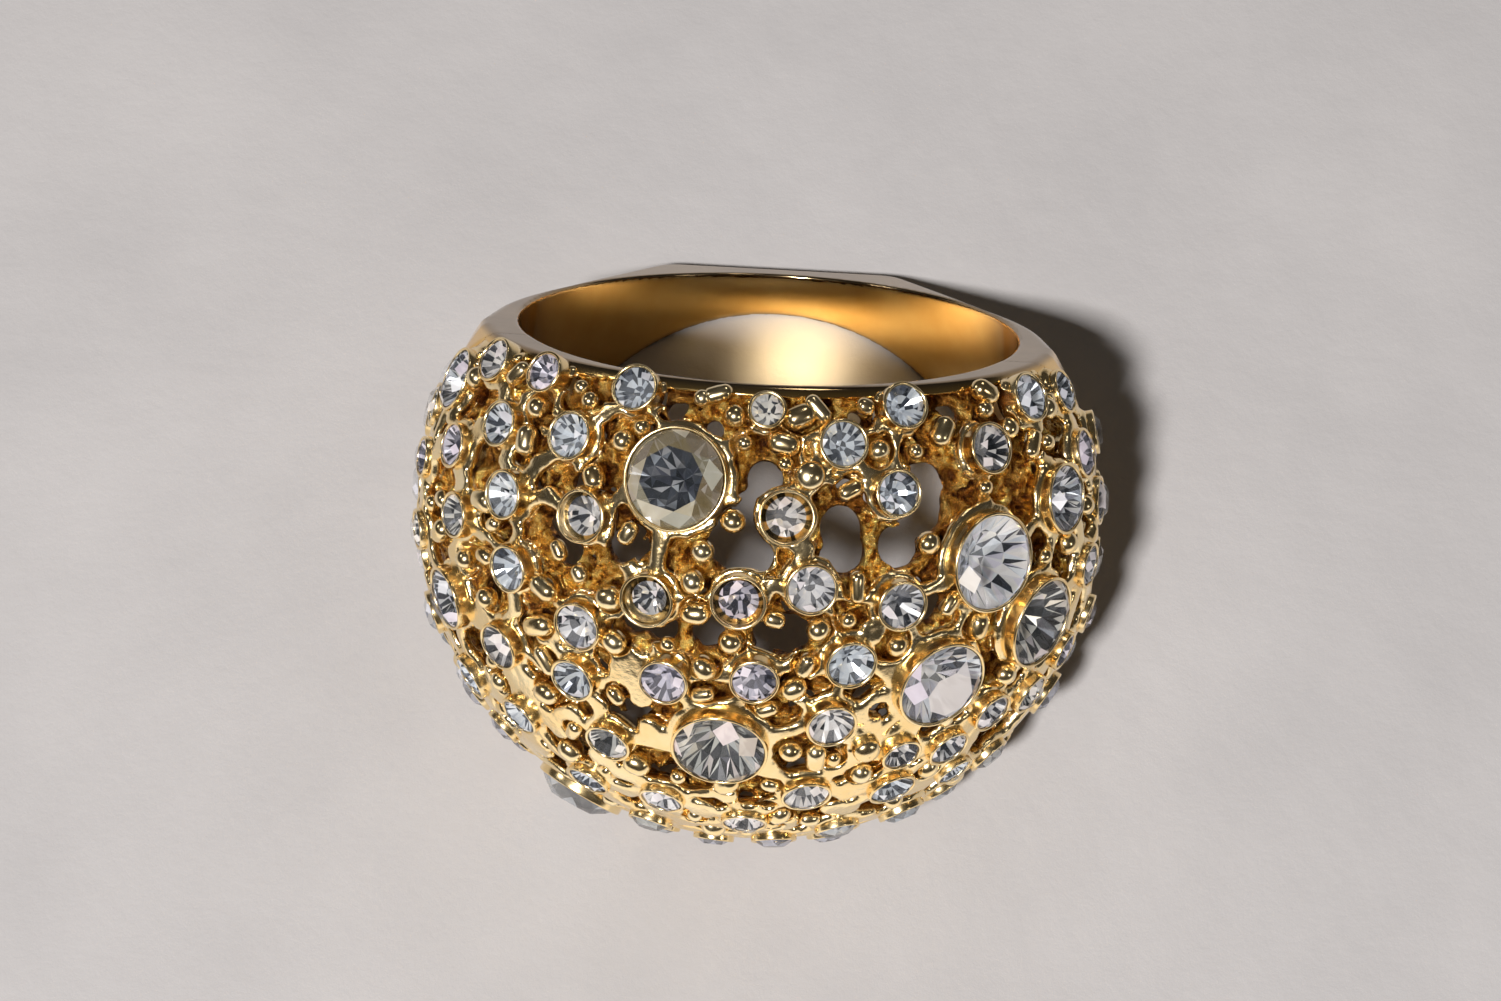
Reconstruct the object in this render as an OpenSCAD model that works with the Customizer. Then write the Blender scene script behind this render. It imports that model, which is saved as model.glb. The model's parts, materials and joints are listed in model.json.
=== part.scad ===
// Domed cocktail ring: a squared shank, two planar rims, a pierced web and crystals in bezel cups.
// The ring lies on its lower rim. Every sub-part is modelled about the finger hole's axis and is
// then tipped back by the angle of that rim.

/* [Finger hole and rims] */
// Diameter of the finger hole
inner_d = 18.2; // [16:0.1:21]
// Height of the ring at the hole's front wall
front_h = 20.4; // [16:0.1:22]
// Height of the ring at the hole's back wall
back_h = 2.1; // [1.6:0.1:4]
// Thickness of the rim rails
rail_t = 0.4; // [0.3:0.05:0.6]
// Radius of the sphere that the rails' outer edges follow
rail_r = 12.3; // [12.2:0.05:12.5]

/* [Dome] */
// Radius of the sphere that the web follows
web_r = 12.5; // [12.3:0.05:12.8]
// Thickness of the web
web_t = 0.9; // [0.7:0.05:1.2]
// How far the dome's centre lies in front of the hole's axis
dome_fore = 2.8; // [2.5:0.1:3.2]
// Radius of the barrel that takes a little off both flanks of the dome
flank_r = 12.1; // [11.9:0.05:12.4]
// How far the lips of the cups stand out of the web
lip_rise = 0.4; // [0.3:0.05:0.6]

/* [Shank] */
// Distance from the hole's axis to the flat back
back_y = 10.25; // [10:0.05:10.8]
// Half the width of the flat back
back_half_w = 5.25; // [4.5:0.05:6]
// Radius that rounds off the two back corners
corner_r = 11.4; // [11.2:0.05:11.6]
// Half the width of the shank where its straight sides meet the shoulders
waist_half_w = 9.5; // [9.4:0.05:10]
// Half the width of the shoulders
shoulder_half_w = 12.2; // [12:0.05:12.5]

/* [Stones] */
// Wall of a cup round a crystal
cup_wall = 0.15; // [0.12:0.01:0.2]
// Crown height as a share of the crystal's diameter
crown_share = 0.24; // [0.18:0.01:0.27]
// Depth of the pavilion as a share of the crystal's diameter
pavilion_share = 0.42; // [0.38:0.01:0.45]
// Radius of a large grain
grain_r = 0.36; // [0.3:0.01:0.4]
// Radius of a small grain
seed_r = 0.26; // [0.2:0.01:0.3]

/* [Hidden] */
$fn = 64;

gold = [0.83, 0.64, 0.36];
deep_gold = [0.72, 0.47, 0.18];
glass = [0.78, 0.83, 0.88];

hole_r = inner_d / 2;
slope = (front_h - back_h) / 2 / inner_d;
tilt = atan(slope);
half_h = (front_h + back_h) / 4;
reach = 40;
// Where the shank's straight sides end, where its shoulders are widest and where it is cut off
waist_y = 2.6;
shoulder_y = -1.6;
shank_front_y = -9;
lip_r = web_r + lip_rise;
// The web ends at the shoulders on a cylinder across the ring: its centre and its radius
zone_y = 13;
zone_r = 11.75;
// Moves the tipped ring so that its box is centred on the origin
stand_y = 3.14;

// Table radius and bore radius as shares of the crystal's diameter
table_share = 0.29;
bore_share = 0.36;
girdle_share = 0.03;
// How far a lip stands over the girdle, and how far a cup runs on behind the culet
lip_over = 0.06;
cup_tail = 0.15;

// Places on the dome. Each is [degrees to the right, degrees up, crystal diameter, cup diameter],
// and a cup diameter of 0 stands for the crystal's own plus two walls.
crest = [-15, 41, 3.05, 3.55];
right_brow = [44, 22, 3.1, 3.5];
right_low = [32, 5, 3.1, 3.4];
right_flank = [53, 6, 3.1, 3.4];
chin = [-3, -3, 3.05, 3.35];
right_temple = [65, 22, 2.15, 2.5];
left_cheek = [-57, 1, 2, 2.35];
left_temple = [-80, 29, 2.05, 2.35];
left_foot = [-37, -39, 3.1, 3.4];

rim_set = [[-55, 46, 1.2, 0], [-31, 52, 1.35, 0], [3, 53, 1, 0], [20, 47, 1.4, 0],
    [37, 50, 1.35, 0]];
upper_left_set = [[-70, 40, 1.35, 0], [-57, 35, 1.35, 0], [-40, 41, 1.35, 1.7],
    [-66, 25, 1.35, 0], [-48, 27, 1.35, 1.75], [-31, 31, 1.35, 1.85]];
upper_right_set = [[7, 37, 1.35, 1.9], [29, 38, 1.35, 0], [52, 38, 1.5, 0], [69, 39, 1.5, 0],
    [11, 26, 1.5, 0], [26, 21, 1.5, 0], [17, 13, 1.5, 0]];
middle_left_set = [[-16, 22, 1.2, 1.9], [-1, 24, 1.35, 1.9], [-58, 17, 1.35, 0],
    [-42, 17, 1.35, 1.7], [-27, 14, 1.5, 0], [-42, 2, 1.5, 0], [-27, 4, 1.35, 1.7],
    [-12, 9, 1.35, 1.75]];
middle_right_set = [[2, 11, 1.35, 1.7], [14, 2, 1.5, 0], [26, -8, 1.2, 0], [35, -11, 1.35, 0],
    [43, -7, 1.35, 0]];
lower_left_set = [[-21, -7, 1.35, 1.7], [-39, -12, 1.35, 0], [-53, -14, 1.5, 0],
    [-13, -20, 1.35, 0], [-27, -22, 1.35, 0], [1, -25, 1.35, 0], [-62, -27, 1.5, 0],
    [-50, -26, 1.2, 0]];
lower_right_set = [[11, -15, 1.5, 0], [26, -18, 1.5, 0], [53, -10, 1.35, 0], [39, -21, 1.2, 0],
    [19, -33, 1.35, 0], [62, -7, 1.2, 0], [64, -20, 1.5, 0], [50, -26, 1.35, 0]];
left_flank_set = [[-76, 15, 1.2, 0], [-71, 4, 1.2, 0], [-88, 17, 1.35, 0], [-84, 3, 1.5, 0],
    [-97, 7, 1.35, 0], [-94, -7, 1.5, 0], [-80, -10, 1.35, 0], [-67, -11, 1.35, 0],
    [-75, -23, 1.5, 0], [-90, -22, 1.35, 0]];
right_flank_set = [[84, 31, 1.35, 0], [78, 22, 1.5, 0], [69, 6, 1.35, 0], [82, 9, 1.5, 0],
    [94, 14, 1.35, 0], [96, -1, 1.35, 0], [84, -6, 1.5, 0], [73, -8, 1.2, 0],
    [91, -19, 1.35, 0], [77, -21, 1.35, 0]];
underside_set = [[-6, -43, 1.2, 0], [-18, -35, 1.35, 0], [7, -38, 1.35, 0], [21, -46, 1.35, 0],
    [-20, -47, 1.2, 0], [34, -36, 1.5, 0], [46, -38, 1.35, 0], [59, -34, 1.35, 0],
    [-55, -37, 1.35, 0], [-68, -35, 1.2, 0], [72, -33, 1.2, 0]];

small_sets = concat(rim_set, upper_left_set, upper_right_set, middle_left_set, middle_right_set,
    lower_left_set, lower_right_set, left_flank_set, right_flank_set, underside_set);
large_set = [crest, right_brow, right_low, right_flank, chin, right_temple, left_cheek,
    left_temple, left_foot];
// Solid gold studs stand in two of the small cups' places
stud_set = [[12, 43, 0.7, 0], [20, -5, 0.7, 0]];

// Grains are [degrees to the right, degrees up, 1 for large or 0 for small]
upper_grain_set = [[-14, 54, 0], [-10, 55, 0], [-5, 52, 1], [11, 52, 1], [16, 53, 0],
    [7, 48, 1], [7, 45, 0], [28, 45, 1], [28, 52, 0], [44, 44, 1], [36, 43, 0], [60, 45, 1],
    [57, 43, 0], [60, 38, 1], [74, 34, 1], [68, 31, 0], [-41, 47, 0], [-45, 48, 0],
    [-29, 44, 1], [-26, 47, 0], [-52, 41, 1], [-50, 36, 1], [-63, 42, 0], [-74, 34, 1],
    [-32, 37, 1], [-2, 48, 0], [-3, 36, 1], [-8, 31, 1], [-22, 31, 0], [20, 40, 0], [64, 33, 0]];
middle_grain_set = [[-9, 26, 1], [-8, 21, 1], [-2, 17, 1], [12, 19, 1], [17, 20, 0],
    [19, 25, 0], [-12, 15, 0], [-6, 12, 1], [-6, 7, 0], [4, 5, 0], [10, 13, 0], [8, 9, 1],
    [5, 21, 0], [-54, 11, 1], [-47, 8, 1], [-49, 21, 0], [-53, 23, 1], [-49, 15, 0],
    [-35, 17, 1], [-35, 10, 1], [-29, 22, 0], [-23, 20, 1], [-21, 13, 1], [-33, 4, 0],
    [-63, 10, 1], [-65, 15, 0], [-69, 11, 0], [40, 12, 1], [25, 14, 1], [64, 14, 1],
    [57, 16, 0], [35, 18, 0], [33, 29, 1], [48, 33, 0], [73, 15, 1], [-20, 3, 0], [-34, 24, 0]];
lower_grain_set = [[8, -4, 1], [12, -6, 1], [15, -7, 0], [-2, -13, 1], [5, -13, 0],
    [7, -24, 1], [6, -28, 0], [-28, -9, 0], [-30, -16, 1], [-44, -8, 1], [-45, -4, 0],
    [-17, -12, 1], [-10, -13, 0], [33, -17, 1], [34, -4, 0], [46, -1, 1], [20, -12, 1],
    [-33, -3, 1], [-46, -17, 0], [-5, -33, 1], [-8, -27, 0], [29, -27, 1], [58, -27, 0],
    [44, -30, 1], [-61, -18, 1], [-61, -7, 0], [-77, -2, 1], [-86, -13, 1], [90, 5, 1],
    [78, -14, 1], [67, -27, 0], [-27, -34, 0], [13, -28, 0]];

function cup_d(s) = s[3] > 0 ? s[3] : s[2] + 2 * cup_wall;
function lip_reach(s) =
    min(lip_r, (flank_r + lip_rise) / sqrt(1 - pow(cos(s[0]) * cos(s[1]), 2)));
function girdle_lift(s) = girdle_share * s[2] + lip_over;
function cup_depth(s) = pavilion_share * s[2] + cup_tail;

// Tips a sub-part back on to its lower rim
module standing() {
    translate([0, stand_y, half_h * cos(tilt)]) rotate([-tilt, 0, 0]) children();
}

// Puts children on the dome, with +Z outwards and z = 0 at the crystal's girdle
module at_site(s) {
    translate([0, -dome_fore, 0]) rotate([90 - s[1], 0, s[0]])
        translate([0, 0, lip_reach(s) - girdle_lift(s)]) children();
}

// Everything between the two rim planes, less a margin at each
module wedge(margin) {
    drop = margin / cos(tilt);
    front = half_h + slope * reach - drop;
    back_end = (half_h - drop) / slope;
    rotate([90, 0, 90]) linear_extrude(height = 2 * reach, center = true)
        polygon([[-reach, -front], [back_end, 0], [-reach, front]]);
}

module finger_hole() {
    cylinder(r = hole_r, h = 2 * reach, center = true, $fn = 128);
}

// The part of space that the dome takes, in front of the shoulders
module dome_zone() {
    translate([0, -zone_y, 0]) rotate([0, 90, 0])
        cylinder(r = zone_r, h = 2 * reach, center = true, $fn = 128);
    translate([-reach, -reach - zone_y, -reach]) cube([2 * reach, reach, 2 * reach]);
}

module flank_barrel() {
    rotate([90, 0, 0]) cylinder(r = flank_r, h = 2 * reach, center = true, $fn = 128);
}

module ball(r) {
    translate([0, -dome_fore, 0]) sphere(r = r, $fn = 128);
}

module seat(s) {
    at_site(s) translate([0, 0, -3]) cylinder(r = cup_d(s) / 2, h = 6, $fn = 32);
}

// A round window through the web, as a radial bore
module window(a, l, r) {
    translate([0, -dome_fore, 0]) rotate([90 - l, 0, a]) translate([0, 0, web_r - 3])
        cylinder(r = r, h = 6, $fn = 32);
}

module windows() {
    // The tall opening right of the crest crystal
    window(3, 43, 0.6);
    window(0, 38, 0.45);
    window(-3, 32, 0.75);
    window(1, 31, 0.75);
    // Openings on the right of the brow
    window(18, 34, 0.65);
    window(18, 30, 0.6);
    window(37, 37, 0.75);
    window(35, 33, 0.75);
    window(29, 29, 0.6);
    window(32, 18, 0.5);
    // The low slot under the upper cups
    window(-19, 16, 0.35);
    window(-14, 16, 0.4);
    window(-6, 17, 0.45);
    window(5, 17, 0.6);
    window(8, 17, 0.55);
    // Openings on the left
    window(-37, 27, 0.45);
    window(-34, 24, 0.5);
    window(-23, 28, 0.55);
    window(-35, 35, 0.4);
    // Dark gaps under the upper rail
    window(-37, 50, 0.4);
    window(-21, 52, 0.5);
    window(-10, 50, 0.4);
    window(26, 51, 0.35);
    window(51, 46, 0.45);
    // Gaps on the lower dome
    window(16, -13, 0.35);
    window(22, 2, 0.4);
    window(-18, -2, 0.4);
    window(-9, -12, 0.35);
    window(50, 14, 0.35);
    window(-34, -22, 0.45);
    window(5, -19, 0.35);
    window(33, -27, 0.45);
    window(-84, -16, 0.45);
    window(84, -12, 0.45);
    window(-78, 8, 0.35);
    window(-49, 7, 0.35);
}

module cup(s) {
    r = s[2] / 2;
    outer = cup_d(s) / 2;
    bore = bore_share * s[2];
    depth = cup_depth(s);
    shelf = -pavilion_share * s[2] * (1 - bore / r);
    lip = girdle_lift(s);
    mouth = max(r, outer - cup_wall);
    at_site(s) rotate_extrude($fn = 48)
        polygon([[bore, -depth], [outer, -depth], [outer, lip], [mouth, lip], [r, lip - lip_over],
            [r, 0], [bore, shelf]]);
}

module crystal(s) {
    d = s[2];
    at_site(s) rotate_extrude($fn = 48)
        polygon([[0, -pavilion_share * d], [d / 2, 0], [d / 2, girdle_share * d],
            [table_share * d, crown_share * d], [0, crown_share * d]]);
}

module cups(set) {
    color(gold) standing() for (s = set) cup(s);
}

module crystals(set) {
    color(glass) standing() for (s = set) crystal(s);
}

// Grains sit on the web: each is the part of a small ball that stands out of the dome
module grains(set) {
    color(gold) standing() difference() {
        for (g = set) {
            r = g[2] == 1 ? grain_r : seed_r;
            site = [g[0], g[1], 0, 0];
            translate([0, -dome_fore, 0]) rotate([90 - g[1], 0, g[0]])
                translate([0, 0, lip_reach(site) - lip_rise + r / 3]) sphere(r = r, $fn = 24);
        }
        intersection() {
            ball(web_r);
            flank_barrel();
        }
    }
}

module shank_outline() {
    right = [[back_half_w, back_y], [waist_half_w, waist_y], [shoulder_half_w, shoulder_y],
        [shoulder_half_w, shank_front_y]];
    left = [for (i = [len(right) - 1:-1:0]) [-right[i][0], right[i][1]]];
    polygon(concat(right, left));
}

// Tapers the shank from the dome's girth down to its back, round the front-to-back axis
module shoulder_taper() {
    rotate([90, 0, 0]) rotate_extrude($fn = 128)
        polygon([[0, -11], [7.2, -11], [10.45, -waist_y], [12, 1.3], [12.9, 4.4],
            [12.9, -shank_front_y], [0, -shank_front_y]]);
}

// Rounds off the back corners and leaves the front alone
module rounded_back() {
    cylinder(r = corner_r, h = reach, center = true, $fn = 128);
    translate([-reach, -reach, -reach]) cube([2 * reach, reach + waist_y, 2 * reach]);
}

module shank() {
    color(gold) standing() difference() {
        intersection() {
            linear_extrude(height = reach, center = true) shank_outline();
            wedge(0);
            shoulder_taper();
            rounded_back();
        }
        finger_hole();
        dome_zone();
    }
}

// A rail is the flange between the finger hole and the dome's edge; side is 1 above, -1 below
module rail(side) {
    difference() {
        intersection() {
            ball(rail_r);
            wedge(0);
            dome_zone();
            translate([-reach, -reach, side > 0 ? 0 : -reach]) cube([2 * reach, 2 * reach, reach]);
        }
        wedge(rail_t);
        finger_hole();
        for (s = concat(small_sets, large_set)) if (s[1] * side > 25) seat(s);
    }
}

module upper_rail() { color(gold) standing() rail(1); }
module lower_rail() { color(gold) standing() rail(-1); }

module web() {
    color(deep_gold) standing() difference() {
        intersection() {
            ball(web_r);
            flank_barrel();
            wedge(rail_t);
            dome_zone();
        }
        ball(web_r - web_t);
        finger_hole();
        for (s = concat(large_set, small_sets, stud_set)) seat(s);
        windows();
    }
}

// A stud is a plug with a domed head
module gold_studs() {
    color(gold) standing() for (s = stud_set) at_site(s) {
        cylinder(r = cup_d(s) / 2, h = girdle_lift(s), $fn = 32);
        translate([0, 0, -cup_depth(s)]) cylinder(r = cup_d(s) / 2, h = cup_depth(s), $fn = 32);
        translate([0, 0, girdle_lift(s)]) intersection() {
            translate([0, 0, -0.3]) sphere(r = cup_d(s) / 2, $fn = 32);
            cylinder(r = s[2], h = 2, $fn = 32);
        }
    }
}

shank();
upper_rail();
lower_rail();
web();
cups([crest]);  // cup_crest
crystals([crest]);  // crystal_crest
cups([right_brow]);  // cup_right_brow
crystals([right_brow]);  // crystal_right_brow
cups([right_low]);  // cup_right_low
crystals([right_low]);  // crystal_right_low
cups([right_flank]);  // cup_right_flank
crystals([right_flank]);  // crystal_right_flank
cups([chin]);  // cup_chin
crystals([chin]);  // crystal_chin
cups([right_temple]);  // cup_right_temple
crystals([right_temple]);  // crystal_right_temple
cups([left_cheek]);  // cup_left_cheek
crystals([left_cheek]);  // crystal_left_cheek
cups([left_temple]);  // cup_left_temple
crystals([left_temple]);  // crystal_left_temple
cups([left_foot]);  // cup_left_foot
crystals([left_foot]);  // crystal_left_foot
cups(rim_set);  // rim_cups
crystals(rim_set);  // rim_crystals
cups(upper_left_set);  // upper_left_cups
crystals(upper_left_set);  // upper_left_crystals
cups(upper_right_set);  // upper_right_cups
crystals(upper_right_set);  // upper_right_crystals
cups(middle_left_set);  // middle_left_cups
crystals(middle_left_set);  // middle_left_crystals
cups(middle_right_set);  // middle_right_cups
crystals(middle_right_set);  // middle_right_crystals
cups(lower_left_set);  // lower_left_cups
crystals(lower_left_set);  // lower_left_crystals
cups(lower_right_set);  // lower_right_cups
crystals(lower_right_set);  // lower_right_crystals
cups(left_flank_set);  // left_flank_cups
crystals(left_flank_set);  // left_flank_crystals
cups(right_flank_set);  // right_flank_cups
crystals(right_flank_set);  // right_flank_crystals
cups(underside_set);  // underside_cups
crystals(underside_set);  // underside_crystals
gold_studs();
grains(upper_grain_set);  // upper_grains
grains(middle_grain_set);  // middle_grains
grains(lower_grain_set);  // lower_grains
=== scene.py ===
"""Looks of the domed cocktail ring.

Shapes are worked out in millimetres about the finger hole's axis (the ring's own frame: X to the
right, -Y towards the dome's front, Z along the hole) and are then put into the row's frame in metres.
The cast metal is a distance field, built up from shells, struts and pits, and turned into a mesh.
"""
import itertools
import json
import math

import bmesh
import bpy
import numpy as np
from mathutils import Matrix, Vector
from mathutils.bvhtree import BVHTree
from mathutils.geometry import tessellate_polygon


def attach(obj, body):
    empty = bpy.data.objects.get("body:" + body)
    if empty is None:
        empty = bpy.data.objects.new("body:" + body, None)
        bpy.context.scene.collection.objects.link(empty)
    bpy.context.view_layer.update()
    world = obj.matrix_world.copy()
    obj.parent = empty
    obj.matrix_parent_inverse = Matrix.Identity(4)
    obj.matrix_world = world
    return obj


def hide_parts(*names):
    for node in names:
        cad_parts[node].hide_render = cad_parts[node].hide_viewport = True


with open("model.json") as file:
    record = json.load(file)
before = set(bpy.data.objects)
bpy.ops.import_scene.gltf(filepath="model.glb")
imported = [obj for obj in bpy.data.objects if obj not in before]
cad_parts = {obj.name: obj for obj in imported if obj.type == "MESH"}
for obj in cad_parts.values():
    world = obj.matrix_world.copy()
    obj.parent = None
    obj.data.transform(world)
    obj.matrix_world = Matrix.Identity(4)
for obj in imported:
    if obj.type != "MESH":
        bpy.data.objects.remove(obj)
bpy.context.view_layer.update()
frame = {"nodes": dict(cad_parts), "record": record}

MM = 0.001
rng = np.random.RandomState(7)

# ---- the ring's own frame

mounts = {m["name"]: m for m in frame["record"]["mounts"]}
bore = mounts["finger_bore"]
HOLE = np.array(bore["pos_m"]) / MM
RING_Z = np.array(bore["axis"]) / np.linalg.norm(bore["axis"])
RING_X = np.array([1.0, 0.0, 0.0])
RING_Y = np.cross(RING_Z, RING_X)
TURN = np.array([RING_X, RING_Y, RING_Z])

HOLE_R = bore["dims"]["r_mm"]
FRONT_HALF_H = bore["dims"]["length_mm"] / 2
SLOPE = RING_Z[1] / RING_Z[2]
# Half the ring's height at the hole's middle; each rim rises by SLOPE for every mm to the front
HALF_H = FRONT_HALF_H - SLOPE * HOLE_R
TILT_COS = RING_Z[2]
# The dome's centre lies this far before the hole's axis
DOME_FORE = 2.8
DOME = np.array([0.0, -DOME_FORE, 0.0])
# The web's outer radius, its thickness, and the radius about the hole's axis that trims its sides
WEB_R = 12.5
WEB_T = 0.9
FLANK_R = 12.1
# Seen from the side, the web keeps inside a circle of radius ZONE_R about y = -ZONE_Y, z = 0, and the
# band keeps outside it
ZONE_Y = 13.0
ZONE_R = 11.75
# What an empty distance field holds: well outside any metal
FAR = 9.0


def to_ring(points):
    """Row frame in metres to ring frame in millimetres."""
    return (np.asarray(points) / MM - HOLE) @ TURN.T


def to_row(points):
    """Ring frame in millimetres to row frame in metres."""
    return (np.asarray(points) @ TURN + HOLE) * MM


def on_dome(right, up):
    """The unit vector from the dome's centre at so many degrees to the right and up."""
    a, b = math.radians(right), math.radians(up)
    return np.array([math.sin(a) * math.cos(b), -math.cos(a) * math.cos(b), math.sin(b)])


def skin_reach(n):
    """How far the web's outer skin lies from the dome's centre along n."""
    across = math.sqrt(max(1 - n[1] ** 2, 1e-6))
    return min(WEB_R, FLANK_R / across)


def on_skin(n, height):
    """The point at a height over the web's outer skin, along n."""
    return DOME + n * (skin_reach(n) + height)


def unit(v):
    """v at length 1."""
    return v / np.linalg.norm(v)


# ---- what the CAD nodes hold


def joined_labels(count, a, b):
    """One number for each point, the same for points that edges from a to b join."""
    label = np.arange(count)
    while True:
        low = np.minimum(label[a], label[b])
        new = label.copy()
        np.minimum.at(new, a, low)
        np.minimum.at(new, b, low)
        new = new[new]
        if (new == label).all():
            return label
        label = new


def cad_points(mesh):
    """A CAD mesh's points in the ring frame."""
    co = np.empty(len(mesh.vertices) * 3)
    mesh.vertices.foreach_get("co", co)
    return to_ring(co.reshape(-1, 3))


def islands(node):
    """The loose parts of a CAD node, each as an array of points in the ring frame."""
    mesh = frame["nodes"][node].data
    keys, index = np.unique(np.round(cad_points(mesh), 3), axis=0, return_inverse=True)
    index = index.reshape(-1)
    ends = np.empty(len(mesh.edges) * 2, int)
    mesh.edges.foreach_get("vertices", ends)
    a, b = index[ends.reshape(-1, 2)].T
    label = joined_labels(len(keys), a, b)
    return [keys[label == k] for k in np.unique(label)]


def read_sites(node):
    """The round pieces that stand on the dome in a CAD node.

    Each has its axis n and its radius r, and how far its top, its base and its widest place lie from
    the dome's centre.
    """
    found = []
    for points in islands(node):
        n = unit(points.mean(0) - DOME)
        t = (points - DOME) @ n
        off = np.linalg.norm(points - DOME - t[:, None] * n, axis=1)
        wide = t[off > 0.99 * off.max()]
        found.append({"n": n, "r": off.max(), "top": t.max(), "base": t.min(), "wide": wide.min()})
    return found


cup_nodes = sorted(n for n in frame["nodes"] if n.startswith("cup_") or n.endswith("_cups"))
crystal_nodes = sorted(n for n in frame["nodes"] if "crystal" in n)
grain_nodes = sorted(n for n in frame["nodes"] if n.endswith("_grains"))
cups = {node: read_sites(node) for node in cup_nodes}
stones = {node: read_sites(node) for node in crystal_nodes}
grains = {node: read_sites(node) for node in grain_nodes}
studs = read_sites("gold_studs")
all_cups = [s for group in cups.values() for s in group]
all_stones = [s for group in stones.values() for s in group]
all_seats = all_cups + studs
for cup in all_cups:
    cup["stone"] = max(all_stones, key=lambda s: float(s["n"] @ cup["n"]))
    cup["stone"]["cup"] = cup

# ---- distance fields


def smooth_min(a, b, k):
    """The lower of two fields, rounded over a width k where they meet."""
    h = np.maximum(k - np.abs(a - b), 0) / k
    return np.minimum(a, b) - h * h * k / 4


def smooth_max(a, b, k):
    """The higher of two fields, rounded over a width k where they meet."""
    return -smooth_min(-a, -b, k)


def over_rim(y, z):
    """How far points stand above the upper rim's plane."""
    return (z - HALF_H + SLOPE * y) * TILT_COS


def outside_zone(y, z):
    """How far points lie outside the circle that the web keeps inside, seen from the side."""
    return np.where(y > -ZONE_Y, np.sqrt((y + ZONE_Y) ** 2 + z * z) - ZONE_R, -1.0)


def along_and_off(spots, centre, n):
    """How far grid points lie along an axis n from a centre, and how far off the axis."""
    x, y, z = (spots[i] - centre[i] for i in range(3))
    t = x * n[0] + y * n[1] + z * n[2]
    return t, np.sqrt(np.maximum(x ** 2 + y ** 2 + z ** 2 - t * t, 0))


def spread_axes(axes):
    """Three axes shaped so that together they span their grid."""
    x, y, z = (a.astype(np.float32) for a in axes)
    return x[:, None, None], y[None, :, None], z[None, None, :]


def interpolate(array, at):
    """Values of an array between its points, at one index or array of indices for each axis."""
    at = [np.clip(a, 0, n - 1.01) for a, n in zip(at, array.shape)]
    low = [a.astype(int) for a in at]
    total = 0
    for corner in itertools.product((0, 1), repeat=len(at)):
        weight = 1
        for a, i, c in zip(at, low, corner):
            weight = weight * (a - i if c else 1 - (a - i))
        total = total + weight * array[tuple(i + c for i, c in zip(low, corner))]
    return total


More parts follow.
